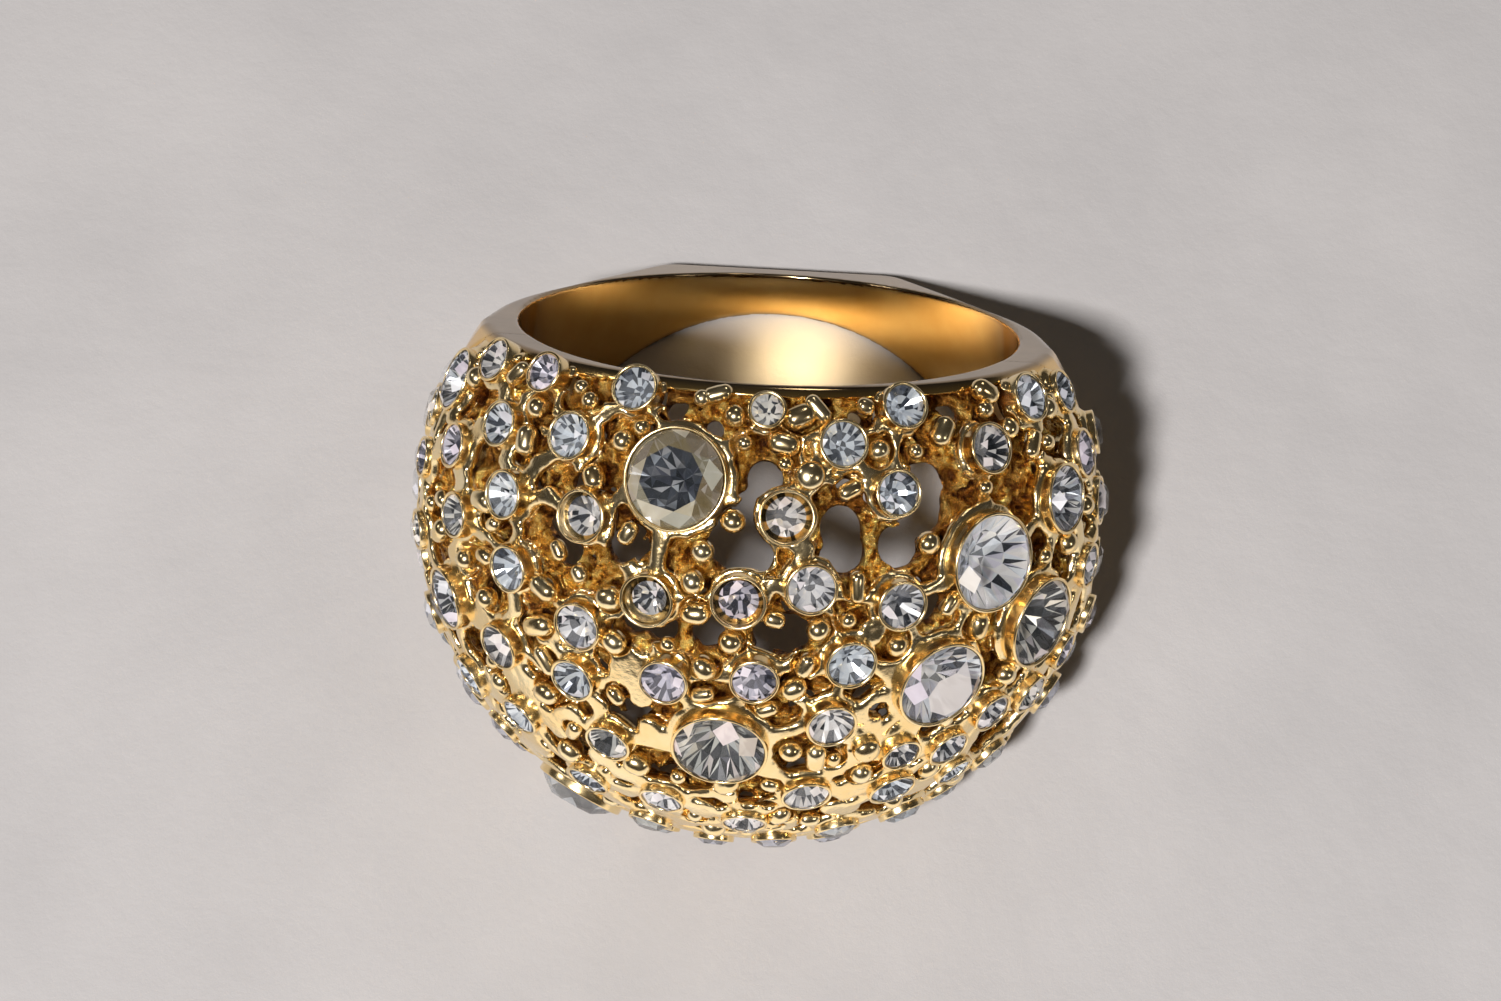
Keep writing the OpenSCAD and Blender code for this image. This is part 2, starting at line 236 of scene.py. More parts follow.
class Field:
    """A distance field on a grid of points, negative inside the metal."""

    def __init__(self, low, high, step):
        self.low = np.array(low, float)
        self.step = step
        counts = np.ceil((np.array(high) - self.low) / step).astype(int) + 1
        self.axes = [self.low[i] + step * np.arange(counts[i]) for i in range(3)]
        self.shape = tuple(counts)
        self.d = np.full(self.shape, FAR, np.float32)

    def window(self, centre, radius):
        """The part of the grid within a radius of a point: its slices and its coordinates."""
        cut = []
        for i in range(3):
            a = int((centre[i] - radius - self.low[i]) / self.step)
            b = int((centre[i] + radius - self.low[i]) / self.step) + 2
            cut.append(slice(max(a, 0), max(min(b, self.shape[i]), 0)))
        return tuple(cut), spread_axes([self.axes[i][cut[i]] for i in range(3)])

    def noise(self, size, seed):
        """Smooth noise from -1 to 1 with features of about a size."""
        local = np.random.RandomState(seed)
        out = local.uniform(-1, 1, [int(n * self.step / size) + 3 for n in self.shape])
        out = out.astype(np.float32)
        for axis in range(3):
            at = np.arange(self.shape[axis]) * self.step / size
            i = at.astype(int)
            f = (at - i).astype(np.float32)
            f = f * f * (3 - 2 * f)
            f = f.reshape([-1 if k == axis else 1 for k in range(3)])
            out = np.take(out, i, axis) * (1 - f) + np.take(out, i + 1, axis) * f
        return out

    def sample(self, array, points):
        """Values at points of an array on the same grid."""
        return interpolate(array, ((points - self.low) / self.step).T)

    def surface(self):
        """Points and quads of the zero level, one point in each grid cell that it crosses."""
        d = self.d
        inside = d < 0
        count = np.zeros(tuple(n - 1 for n in self.shape), np.int8)
        for corner in itertools.product((0, 1), repeat=3):
            count += inside[tuple(slice(c, c + n) for c, n in zip(corner, count.shape))]
        cells = np.argwhere((count > 0) & (count < 8))
        place = np.full(count.shape, -1, np.int32)
        place[tuple(cells.T)] = np.arange(len(cells))
        total = np.zeros((len(cells), 3), np.float32)
        hits = np.zeros(len(cells), np.float32)
        for axis in range(3):
            u, v = (axis + 1) % 3, (axis + 2) % 3
            for cu, cv in itertools.product((0, 1), repeat=2):
                first = np.zeros(3, int)
                first[u], first[v] = cu, cv
                last = first.copy()
                last[axis] = 1
                a = d[tuple((cells + first).T)]
                b = d[tuple((cells + last).T)]
                crossed = (a < 0) != (b < 0)
                spot = np.tile(first.astype(np.float32), (len(cells), 1))
                spot[:, axis] = np.where(crossed, a / np.where(crossed, a - b, 1), 0)
                total += spot * crossed[:, None]
                hits += crossed
        points = (cells + total / hits[:, None]) * self.step + self.low
        quads = []
        for axis in range(3):
            u, v = (axis + 1) % 3, (axis + 2) % 3
            a = np.take(inside, np.arange(self.shape[axis] - 1), axis)
            b = np.take(inside, np.arange(1, self.shape[axis]), axis)
            edges = np.argwhere(a != b)
            keep = (edges[:, u] > 0) & (edges[:, v] > 0)
            keep &= (edges[:, u] < self.shape[u] - 1) & (edges[:, v] < self.shape[v] - 1)
            edges = edges[keep]
            corner = []
            for du, dv in ((-1, -1), (0, -1), (0, 0), (-1, 0)):
                at = edges.copy()
                at[:, u] += du
                at[:, v] += dv
                corner.append(place[tuple(at.T)])
            quad = np.stack(corner, 1)
            outward = inside[tuple(edges.T)]
            quad[~outward] = quad[~outward][:, ::-1]
            quads.append(quad)
        return points, np.concatenate(quads)


# ---- meshes


def smooth_points(points, faces, share):
    """Moves each point a share of the way to the mean of its face neighbours."""
    a = faces.reshape(-1)
    b = np.roll(faces, -1, 1).reshape(-1)
    n = len(points)
    degree = np.bincount(a, minlength=n) + np.bincount(b, minlength=n)
    mean = np.empty_like(points)
    for k in range(3):
        mean[:, k] = np.bincount(a, points[b, k], n) + np.bincount(b, points[a, k], n)
    mean /= np.maximum(degree, 1)[:, None]
    return points + share * (mean - points)


def point_normals(points, faces):
    """The unit normal at each point of a mesh of quads."""
    p = points[faces]
    cross = np.cross(p[:, 2] - p[:, 0], p[:, 3] - p[:, 1])
    out = np.zeros_like(points)
    for corner in range(4):
        for k in range(3):
            out[:, k] += np.bincount(faces[:, corner], cross[:, k], len(points))
    return out / np.maximum(np.linalg.norm(out, axis=1), 1e-12)[:, None]


def largest_part(points, quads):
    """Leaves out the loose bits: only the largest joined surface stays."""
    a = quads.reshape(-1)
    label = joined_labels(len(points), a, np.roll(quads, -1, 1).reshape(-1))
    kept = quads[label[quads[:, 0]] == np.bincount(label[a]).argmax()]
    used, index = np.unique(kept, return_inverse=True)
    return points[used], index.reshape(kept.shape)


def open_loops(count, quads):
    """The loops of edges that only one face holds, each going against its faces' way round."""
    a = quads.reshape(-1).astype(np.int64)
    b = np.roll(quads, -1, 1).reshape(-1).astype(np.int64)
    keys, place = np.unique(np.minimum(a, b) * count + np.maximum(a, b), return_inverse=True)
    net = np.bincount(place, weights=np.where(a < b, 1, -1)).astype(int)
    following = {}
    for key, extra in zip(keys[net != 0], net[net != 0]):
        low, high = int(key) // count, int(key) % count
        first, last = (high, low) if extra > 0 else (low, high)
        following.setdefault(first, []).extend([last] * abs(int(extra)))
    loops = []
    while following:
        trail = [next(iter(following))]
        while trail[-1] in following:
            ways = following[trail[-1]]
            after = ways.pop()
            if not ways:
                del following[trail[-1]]
            if after in trail:
                k = trail.index(after)
                loops.append(trail[k:])
                del trail[k + 1:]
            else:
                trail.append(after)
    return [loop for loop in loops if len(loop) > 2]


def cap_faces(points, quads):
    """Triangles that close a cut surface: each loop of its open edges is filled with a flat face."""
    triangles = []
    for loop in open_loops(len(points), quads):
        size = len(loop)
        found = tessellate_polygon([[Vector(points[k]) for k in loop]])
        same = sum((j - i) % size == 1 for t in found for i, j in zip(t, t[1:] + t[:1]))
        back = sum((i - j) % size == 1 for t in found for i, j in zip(t, t[1:] + t[:1]))
        for t in found:
            corners = [loop[k] for k in t]
            triangles.append(corners if same >= back else corners[::-1])
    return triangles


def add_object(name, data):
    """A new object in the scene."""
    made = bpy.data.objects.new(name, data)
    bpy.context.scene.collection.objects.link(made)
    return made


def make_piece(name, points, faces, materials, nodes=(), smooth=True, marks=None, normals=None,
               weld=False):
    """A mesh from ring-frame points and faces that rides on the ring and stands for CAD nodes.

    marks are attributes by name, one value for each point or face. weld joins the points that share
    a place.
    """
    mesh = bpy.data.meshes.new(name)
    mesh.from_pydata(to_row(points).tolist(), [], faces)
    mesh.validate()
    if weld:
        shape = bmesh.new()
        shape.from_mesh(mesh)
        bmesh.ops.remove_doubles(shape, verts=shape.verts, dist=1e-8)
        shape.to_mesh(mesh)
        shape.free()
    mesh.polygons.foreach_set("use_smooth", np.full(len(mesh.polygons), smooth))
    for key, values in (marks or {}).items():
        values = np.asarray(values, np.float32)
        domain = "POINT" if len(values) == len(mesh.vertices) else "FACE"
        if values.ndim == 1:
            layer = mesh.attributes.new(key, "FLOAT", domain)
            layer.data.foreach_set("value", values)
        else:
            layer = mesh.attributes.new(key, "FLOAT_COLOR", domain)
            layer.data.foreach_set("color", values.reshape(-1))
    if normals is not None:
        mesh.normals_split_custom_set_from_vertices((normals @ TURN).tolist())
    piece = add_object(name, mesh)
    for material in materials:
        mesh.materials.append(material)
    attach(piece, "root")
    if nodes:
        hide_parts(*nodes)
    return piece


def lift_at(right, up):
    """How much higher the raised web stands low on the dome and on its flanks, by degrees."""
    return 0.22 * np.clip(np.maximum((5 - up) / 25, (np.abs(right) - 55) / 15), 0, 1)


def web_lift(n):
    """The web's lift along the unit vector n."""
    return lift_at(math.degrees(math.atan2(n[0], -n[1])), math.degrees(math.asin(n[2])))


def axes_at(n, spin):
    """Two unit vectors across n, turned by a spin in radians."""
    side = unit(np.cross([0.0, 0.0, 1.0], n))
    up = np.cross(n, side)
    c, s = math.cos(spin), math.sin(spin)
    return c * side + s * up, -s * side + c * up


# ---- materials


def new_material(name, **values):
    """A material with its node tree and its Principled shader; values are the shader's inputs."""
    material = bpy.data.materials.new(name)
    material.use_nodes = True
    shader = material.node_tree.nodes["Principled BSDF"]
    for key, value in values.items():
        shader.inputs[key].default_value = value
    return material, material.node_tree, shader


def add_node(tree, kind, **values):
    """A shader node; keys are inputs' names, and what isn't an input is set on the node."""
    node = tree.nodes.new(kind)
    for key, value in values.items():
        if key in node.inputs:
            node.inputs[key].default_value = value
        else:
            setattr(node, key, value)
    return node


def noise(tree, scale, detail=3.0, rough=0.5):
    """The value of a noise that is fixed to the object; scale is its features per metre."""
    place = add_node(tree, "ShaderNodeTexCoord")
    node = add_node(tree, "ShaderNodeTexNoise", Scale=scale, Detail=detail, Roughness=rough)
    tree.links.new(place.outputs["Object"], node.inputs["Vector"])
    return node.outputs["Fac"]


def mark(tree, name, output="Fac"):
    """A mark that make_piece put on the mesh, as a value or a colour."""
    return add_node(tree, "ShaderNodeAttribute", attribute_name=name).outputs[output]


def ramp(tree, source, *stops):
    """The colour of a ramp with (position, colour) stops."""
    node = add_node(tree, "ShaderNodeValToRGB")
    while len(node.color_ramp.elements) < len(stops):
        node.color_ramp.elements.new(0.5)
    for element, (at, colour) in zip(node.color_ramp.elements, stops):
        element.position = at
        element.color = (*colour, 1.0)
    tree.links.new(source, node.inputs["Fac"])
    return node.outputs["Color"]


def mix(tree, share, first, second, **values):
    """A colour mix: the first colour where the share is 0, the second where it is 1 or None."""
    node = add_node(tree, "ShaderNodeMix", data_type="RGBA", **values)
    if share is None:
        node.inputs[0].default_value = 1.0
    else:
        tree.links.new(share, node.inputs[0])
    tree.links.new(first, node.inputs[6])
    tree.links.new(second, node.inputs[7])
    return node.outputs[2]


def reckon(tree, operation, *terms):
    """A Math node's result; each term is a number or another node's output."""
    node = add_node(tree, "ShaderNodeMath", operation=operation)
    for term, place in zip(terms, node.inputs):
        if isinstance(term, float):
            place.default_value = term
        else:
            tree.links.new(term, place)
    return node.outputs[0]


def add_bump(tree, shader, source, strength, distance):
    """Bumps a shader's normal by a source; distance is the relief in metres."""
    bump = add_node(tree, "ShaderNodeBump", Strength=strength, Distance=distance)
    tree.links.new(source, bump.inputs["Height"])
    tree.links.new(bump.outputs["Normal"], shader.inputs["Normal"])


def add_gloss(tree, shader, source, low, high):
    """Takes a shader's roughness from a noise, from low to high."""
    tree.links.new(ramp(tree, source, (0.3, (low,) * 3), (0.8, (high,) * 3)), shader.inputs["Roughness"])


def add_range(tree, source, low, high, target):
    """Takes a shader's input from a source of 0 to 1, from low to high."""
    node = add_node(tree, "ShaderNodeMapRange")
    node.inputs["To Min"].default_value = low
    node.inputs["To Max"].default_value = high
    tree.links.new(source, node.inputs["Value"])
    tree.links.new(node.outputs["Result"], target)


def band_gold():
    """Plate of the band: brownish gold with faint wear and grain, with a painted dark reflection on the
    rims, which are darker and greyer.
    """
    material, tree, shader = new_material("band_gold", Metallic=1.0)
    wear = noise(tree, 260.0, 5.0, 0.6)
    inner = ramp(tree, wear, (0.3, (0.84, 0.50, 0.15)), (0.75, (1.0, 0.70, 0.28)))
    # Painted dark reflection: the rims' darker, greyer colour stands for the dark surroundings that
    # their faces mirror
    outer = ramp(tree, wear, (0.3, (0.24, 0.17, 0.095)), (0.75, (0.44, 0.33, 0.21)))
    tree.links.new(mix(tree, mark(tree, "rim"), inner, outer), shader.inputs["Base Color"])
    add_gloss(tree, shader, wear, 0.09, 0.19)
    add_bump(tree, shader, noise(tree, 2400.0, 2.0), 0.05, 0.00005)
    return material


def cup_gold(name, low, high, rough_low, rough_high):
    """Polished plate of the cups, studs and grains."""
    material, tree, shader = new_material(name, Metallic=1.0)
    wear = noise(tree, 900.0, 4.0, 0.6)
    tree.links.new(ramp(tree, wear, (0.35, low), (0.7, high)), shader.inputs["Base Color"])
    add_gloss(tree, shader, wear, rough_low, rough_high)
    add_bump(tree, shader, noise(tree, 3500.0, 3.0), 0.08, 0.00006)
    return material


def cast_gold():
    """The web: pale and polished where it is raised; crumbly below, with a painted amber glow, painted
    dark shade and painted yellow glints; painted brown shade in the depths.
    """
    material, tree, shader = new_material("cast_gold")
    polish = mark(tree, "polish")
    speck = noise(tree, 3200.0, 4.0, 0.6)
    # Painted light: the rough floor's amber stands for light that the gold reflects about its recesses,
    # its dark specks are painted shade and its yellow specks painted glints
    painted_amber_glow = ramp(tree, speck, (0.40, (0.26, 0.08, 0.008)), (0.50, (0.95, 0.46, 0.05)),
                 (0.59, (1.0, 0.80, 0.24)))
    # Painted shade in the web's depths, darkest where the web lies farthest under its outer skin
    painted_recess_shade = ramp(tree, speck, (0.38, (0.045, 0.013, 0.003)), (0.68, (0.48, 0.19, 0.025)))
    # The unpolished colour: the painted amber glow, turning to painted shade in the depths
    rough = mix(tree, mark(tree, "depth"), painted_amber_glow, painted_recess_shade)
    wear = noise(tree, 500.0, 4.0, 0.6)
    pale = ramp(tree, wear, (0.35, (0.96, 0.70, 0.33)), (0.7, (1.0, 0.84, 0.52)))
    tree.links.new(mix(tree, polish, rough, pale), shader.inputs["Base Color"])
    add_range(tree, polish, 0.24, 0.2, shader.inputs["Roughness"])
    # A lower metallic where unpolished lets the painted amber glow show as matt colour
    add_range(tree, polish, 0.82, 1.0, shader.inputs["Metallic"])
    unpolished = reckon(tree, "MULTIPLY_ADD", polish, -0.95, 1.0)
    add_bump(tree, shader, reckon(tree, "MULTIPLY", speck, unpolished), 1.0, 0.0005)
    return material


def paint_reflections(tree, shader, *stops):
    """Colours each facet by its painted reflection, dark or bright, and by its tint, with a faint haze.
    """
    haze = reckon(tree, "MULTIPLY_ADD", noise(tree, 1800.0), 0.3, -0.15)
    grey = ramp(tree, reckon(tree, "ADD", mark(tree, "facet_reflection"), haze), *stops)
    colour = mix(tree, None, grey, mark(tree, "tint", "Color"), blend_type="MULTIPLY")
    tree.links.new(colour, shader.inputs["Base Color"])


def crystal_glass(name, low, high, share, rough):
    """Cut glass of the crown: a share of it shows, and the rest lets the foil through."""
    material, tree, shader = new_material(name, Alpha=share, IOR=1.9, Roughness=rough)
    middle = [(a + b) / 2 for a, b in zip(low, high)]
    # The crown facets' colours are painted reflections, dark or bright by facet
    paint_reflections(tree, shader, (0.0, low), (0.5, middle), (1.0, high))
    return material


def crystal_foil():
    """The mirror foil behind a crystal's pavilion, its facets painted with reflections from black to
    white.
    """
    material, tree, shader = new_material("crystal_foil", Metallic=0.5, Roughness=0.16)
    paint_reflections(tree, shader, (0.0, (0.006, 0.007, 0.010)), (0.3, (0.10, 0.11, 0.14)),
          (0.7, (0.80, 0.83, 0.88)), (1.0, (1.0, 1.0, 1.0)))
    return material


def paper():
    """Pale matt paper with a faint mottle and fibres."""
    material, tree, shader = new_material("paper", Roughness=0.75)
    mottle = noise(tree, 90.0, 6.0, 0.6)
    colour = ramp(tree, mottle, (0.3, (0.54, 0.522, 0.527)), (0.75, (0.62, 0.598, 0.60)))
    tree.links.new(colour, shader.inputs["Base Color"])
    add_bump(tree, shader, noise(tree, 700.0, 6.0, 0.7), 0.25, 0.0002)
    return material


BAND = band_gold()
CAST = cast_gold()
CUP = cup_gold("cup_gold", (0.94, 0.68, 0.31), (1.0, 0.82, 0.49), 0.17, 0.28)
GRAIN = cup_gold("grain_gold", (0.95, 0.70, 0.34), (1.0, 0.85, 0.54), 0.17, 0.26)
CLEAR = crystal_glass("crystal_clear", (0.04, 0.05, 0.06), (0.95, 0.97, 1.0), 0.16, 0.03)
# A painted reflection: pale pinkish glass for the paper mirrored in a crown's table, and for flashes on
# a few crown facets
PAINTED_FLASH = crystal_glass("crystal_painted_flash", (0.80, 0.76, 0.80), (1.0, 0.97, 0.98), 0.8, 0.08)
# Painted shade: a darker grey crown for the stones that face the table, under the ring
SHADED_CROWN = crystal_glass("crystal_painted_shade", (0.01, 0.012, 0.015), (0.62, 0.66, 0.70), 0.62, 0.04)
AMBER = crystal_glass("crystal_amber", (0.30, 0.24, 0.12), (1.0, 0.93, 0.74), 0.5, 0.06)
FOIL = crystal_foil()
CRYSTAL_LOOKS = [CLEAR, FOIL, PAINTED_FLASH, AMBER, SHADED_CROWN]

# ---- the web


# Degrees between the window map's points
MAP_STEP = 0.5
# How far a grain's centre stands over the web's skin
GRAIN_HEIGHT = 0.02


def window_map():
    """Where the CAD web is open: a map over degrees right and up, 1 where a ray goes through."""
    mesh = frame["nodes"]["web"].data
    faces = [tuple(p.vertices) for p in mesh.polygons]
    tree = BVHTree.FromPolygons([Vector(p) for p in cad_points(mesh)], faces)
    rights = np.arange(-110.0, 110.5, MAP_STEP)
    ups = np.arange(-70.0, 70.5, MAP_STEP)
    open_map = np.zeros((len(rights), len(ups)), np.float32)
    seats = np.array([c["n"] for c in all_seats])
    reach = np.array([math.cos((c["r"] + 0.12) / WEB_R) for c in all_seats])
    inside = 11.0
    for i, right in enumerate(rights):
        for j, up in enumerate(ups):
            n = on_dome(right, up)
            if ((seats @ n) > reach).any():
                continue
            spot = on_skin(n, 0)
            if abs(spot[2]) > HALF_H - SLOPE * spot[1] - 0.5:
                continue
            if math.hypot(spot[1] + ZONE_Y, spot[2]) > ZONE_R - 0.3 and spot[1] > -ZONE_Y:
                continue
            if tree.ray_cast(Vector(DOME) + Vector(n) * inside, Vector(n))[0] is None:
                open_map[i, j] = 1
    return rights, ups, open_map


def blur(values, passes):
    """A map softened by a few passes over its neighbours."""
    for _ in range(passes):
        for axis in (0, 1):
            values = (np.roll(values, 1, axis) + 2 * values + np.roll(values, -1, axis)) / 4
    return values


def web_field():
    """The web's metal, with its rough floor, its raised parts and its plain outer skin.

    The floor is a crumbly shell. Bars, collars, plates and borders stand on it. Openings, pits and
    bores are then cut.
    """
    grid_step = 0.085
    field = Field((-13.2, -16.0, -11.6), (13.2, 2.0, 11.6), grid_step)
    x, y, z = spread_axes(field.axes)
    from_dome = np.sqrt(x * x + (y + DOME_FORE) ** 2 + z * z)
    outer = np.maximum(from_dome - WEB_R, np.sqrt(x * x + z * z) - FLANK_R)
    inner = (WEB_R - WEB_T - 0.05) - from_dome

    # The rough floor
    floor_depth = 0.52
    coarse = field.noise(0.9, 1)
    middle = field.noise(0.42, 2)
    fine = field.noise(0.22, 3)
    rough = 0.26 * coarse + 0.24 * middle + 0.17 * fine
    floor = np.maximum(outer + floor_depth + rough, inner + 0.10 * middle)

    # Everything that is raised over it
    raised = np.full(field.shape, FAR, np.float32)

    def strut(p, q, r):
        """A rounded bar between two points."""
        centre = (p + q) / 2
        cut, (bx, by, bz) = field.window(centre, np.linalg.norm(q - p) / 2 + r + 0.5)
        if min(s.stop - s.start for s in cut) < 1:
            return
        axis = q - p
        length2 = float(axis @ axis)
        t = ((bx - p[0]) * axis[0] + (by - p[1]) * axis[1] + (bz - p[2]) * axis[2]) / length2
        t = np.clip(t, 0, 1)
        gap = np.sqrt((bx - p[0] - t * axis[0]) ** 2 + (by - p[1] - t * axis[1]) ** 2
                      + (bz - p[2] - t * axis[2]) ** 2) - r
        raised[cut] = smooth_min(raised[cut], gap, 0.18)

    def collar(site, r, tube, height):
        """A rounded ring round a cup."""
        centre = on_skin(site["n"], height)
        cut, spots = field.window(centre, r + tube + 0.4)
        along, off = along_and_off(spots, centre, site["n"])
        gap = np.sqrt((off - r) ** 2 + along * along) - tube
        raised[cut] = smooth_min(raised[cut], gap, 0.15)

    # A collar round each cup, and bent bars to its nearest neighbours
    longest_bar = 1.7
    normals = np.array([c["n"] for c in all_seats])
    radii = np.array([c["r"] for c in all_seats])
    for i, site in enumerate(all_seats):
        tube = 0.2 if site["r"] < 1.3 else 0.28
        lift = web_lift(site["n"])
        collar(site, site["r"] - 0.06, tube + lift * 0.3, lift - 0.3)
        gaps = np.arccos(np.clip(normals @ site["n"], -1, 1)) * WEB_R - radii - site["r"]
        gaps[i] = math.inf
        for j in np.argsort(gaps)[:5]:
            if gaps[j] > longest_bar or (j < i and rng.rand() < 0.5):
                continue
            p = on_skin(site["n"], lift - 0.12)
            q = on_skin(normals[j], web_lift(normals[j]) - 0.12)
            way = unit(q - p)
            side = np.cross(way, site["n"]) * rng.uniform(-0.35, 0.35)
            n_bend = unit((p + q) / 2 + side - DOME)
            bend = on_skin(n_bend, web_lift(n_bend) - rng.uniform(0.05, 0.25))
            r = rng.uniform(0.17, 0.3) + lift * 0.25
            strut(p + way * site["r"], bend, r)
            strut(bend, q - way * radii[j], r)

    # Low plates between the cups, clear of the grains, each with bars to the two nearest cups
    grain_ways = np.array([g["n"] for group in grains.values() for g in group])
    plates = 0
    while plates < 80:
        n = on_dome(rng.uniform(-78, 64), rng.uniform(-50, 12))
        near_seat = ((normals @ n) > np.cos((radii + 0.3) / WEB_R)).any()
        if near_seat or (grain_ways @ n).max() > math.cos(0.04):
            continue
        plates += 1
        centre = on_skin(n, web_lift(n) - 0.22)
        way, _ = axes_at(n, rng.uniform(0, math.pi))
        first = centre - way * rng.uniform(0.05, 0.4)
        last = centre + way * rng.uniform(0.05, 0.4)
        strut(first, last, rng.uniform(0.36, 0.52))
        for j in np.argsort(-(normals @ n))[:2]:
            q = on_skin(normals[j], web_lift(normals[j]) - 0.15)
            strut(centre, q + unit(centre - q) * radii[j], rng.uniform(0.18, 0.34))

    # A border along the band, and a flat top on all that is raised
    zone = outside_zone(y, z)
    border = smooth_max(np.abs(zone + 0.15) - 0.3, outer - 0.02, 0.15)
    raised = smooth_min(raised, border, 0.15)
    right = np.degrees(np.arctan2(x, -(y + DOME_FORE)))
    up = np.degrees(np.arcsin(np.clip(z / np.maximum(from_dome, 0.1), -1, 1)))
    raised = smooth_max(raised + 0.05 * middle, outer - 0.02 - lift_at(right, up), 0.1)

    # The openings, cut wider in the floor than in what is raised, and less wide high on the dome
    rights, ups, open_map = window_map()
    opened = interpolate(blur(open_map, 4), ((right - rights[0]) / MAP_STEP, (up - ups[0]) / MAP_STEP))
    opened = opened.astype(np.float32)
    high_up = np.clip((up - 40) / 8, 0, 1)
    floor_limit, raised_limit = 0.14 + 0.5 * high_up, 0.6
    rough_cut = smooth_max(floor, (opened - floor_limit) * 0.9 + 0.10 * middle, 0.2)
    fine_cut = smooth_max(raised, (opened - raised_limit) * 0.7, 0.2)
    metal = smooth_min(rough_cut, fine_cut, 0.1)

    # A broken groove along the front of each rim
    rim = over_rim(y, np.abs(z))
    groove = np.maximum(np.abs(rim + 0.68 + 0.1 * middle) - 0.2, -outer - 0.55 - 0.35 * coarse)
    groove = np.maximum(groove, y + 4.5)
    metal = smooth_max(metal, -groove, 0.1)

    # A pit round each grain, and a bore under each cup and stud
    for group in grains.values():
        for site in group:
            centre = on_skin(site["n"], GRAIN_HEIGHT)
            pit = site["r"] + 0.22
            cut, (bx, by, bz) = field.window(centre, pit + 0.3)
            gap = np.sqrt((bx - centre[0]) ** 2 + (by - centre[1]) ** 2 + (bz - centre[2]) ** 2) - pit
            metal[cut] = smooth_max(metal[cut], -gap, 0.08)
    for site in all_seats:
        centre = DOME + site["n"] * WEB_R
        cut, spots = field.window(centre, site["r"] + 2.0)
        _, off = along_and_off(spots, centre, site["n"])
        metal[cut] = np.maximum(metal[cut], site["r"] - 0.09 - off)

    # Trimmed under the rims, round the hole and at the band
    metal = smooth_max(metal, rim + 0.12, 0.1)
    metal = smooth_max(metal, HOLE_R + 0.1 - np.sqrt(x * x + y * y) + 0 * z, 0.1)
    metal = np.maximum(metal, zone - 0.1)
    metal = np.maximum(metal, outer - 0.3)
    field.d = metal.astype(np.float32)
    return field, floor, raised, outer


def build_web():
    """The web in six sectors, each closed where it is cut from its neighbours."""
    field, floor, raised, outer = web_field()
    points, quads = largest_part(*field.surface())
    points = smooth_points(points, quads, 0.5)
    normals = point_normals(points, quads)
    raised_by = field.sample(floor, points) - field.sample(raised, points)
    polish = np.clip(raised_by / 0.12 + 0.3, 0, 1)
    # How far under the outer skin each point lies, for the painted shade in the web's depths
    depth = np.clip((-field.sample(np.broadcast_to(outer, field.shape), points) - 0.3) / 0.4, 0, 1)
    middle = points[quads].mean(1) - DOME
    right = np.degrees(np.arctan2(middle[:, 0], -middle[:, 1]))
    up = np.degrees(np.arcsin(middle[:, 2] / np.linalg.norm(middle, axis=1)))
    cut = 22
    levels = {"upper": up >= 0, "lower": up < 0}
    sides = {"left": right < -cut, "middle": (right >= -cut) & (right < cut), "right": right >= cut}
    for level, side in itertools.product(levels, sides):
        part = quads[levels[level] & sides[side]]
        used, index = np.unique(part, return_inverse=True)
        name = f"web_{level}_{side}"
        nodes = ["web"] if name == "web_upper_middle" else []
        index = index.reshape(part.shape)
        faces = index.tolist() + cap_faces(points[used], index)
        make_piece(name, points[used], faces, [CAST], nodes,
                   marks={"polish": polish[used], "depth": depth[used]}, normals=normals[used])


# ---- the band and its rims


def band_distance(p):
    """Distance to the band with its squared back and its shoulders, rounded at the edges."""
    x, y, z = np.abs(p[..., 0]), p[..., 1], p[..., 2]
    corners = [(5.25, 10.25), (9.5, 2.6), (12.2, -1.6)]
    walls = y - corners[0][1]
    for (x0, y0), (x1, y1) in zip(corners, corners[1:]):
        nx, ny = y0 - y1, x1 - x0
        length = math.hypot(nx, ny)
        walls = smooth_max(walls, ((x - x0) * nx + (y - y0) * ny) / length, 0.5)
    # How wide the band may be at each distance to the front
    girths = [(-11.0, 7.2), (-2.6, 10.45), (1.3, 12.0), (2.2, 12.16), (5.0, 12.16)]
    girth = np.interp(-y, [fore for fore, _ in girths], [r for _, r in girths])
    taper = (np.sqrt(x * x + z * z) - girth) * 0.92
    back_r = 11.4
    back = np.where(y > 0, np.sqrt(x * x + y * y) - back_r, -1.0)
    hole = HOLE_R - np.sqrt(x * x + y * y)
    d = smooth_max(walls, taper, 0.5)
    d = smooth_max(d, back, 0.4)
    d = smooth_max(d, over_rim(y, np.abs(z)), 0.22)
    d = smooth_max(d, hole, 0.16)
    return smooth_max(d, -outside_zone(y, z), 0.2)


def rail_distance(p, side):
    """Distance to a rim flange: a thin plate between the hole's edge and the dome."""
    thickness, reach = 0.4, 12.2
    x, y, z = p[..., 0], p[..., 1], p[..., 2] * side
    rim = over_rim(y, z)
    ball = np.sqrt(x * x + (y + DOME_FORE) ** 2 + z * z) - reach
    hole = HOLE_R - np.sqrt(x * x + y * y)
    d = smooth_max(rim, -rim - thickness, 0.15)
    d = smooth_max(d, ball, 0.15)
    d = smooth_max(d, hole, 0.12)
    return np.maximum(d, outside_zone(y, z) - 0.15)


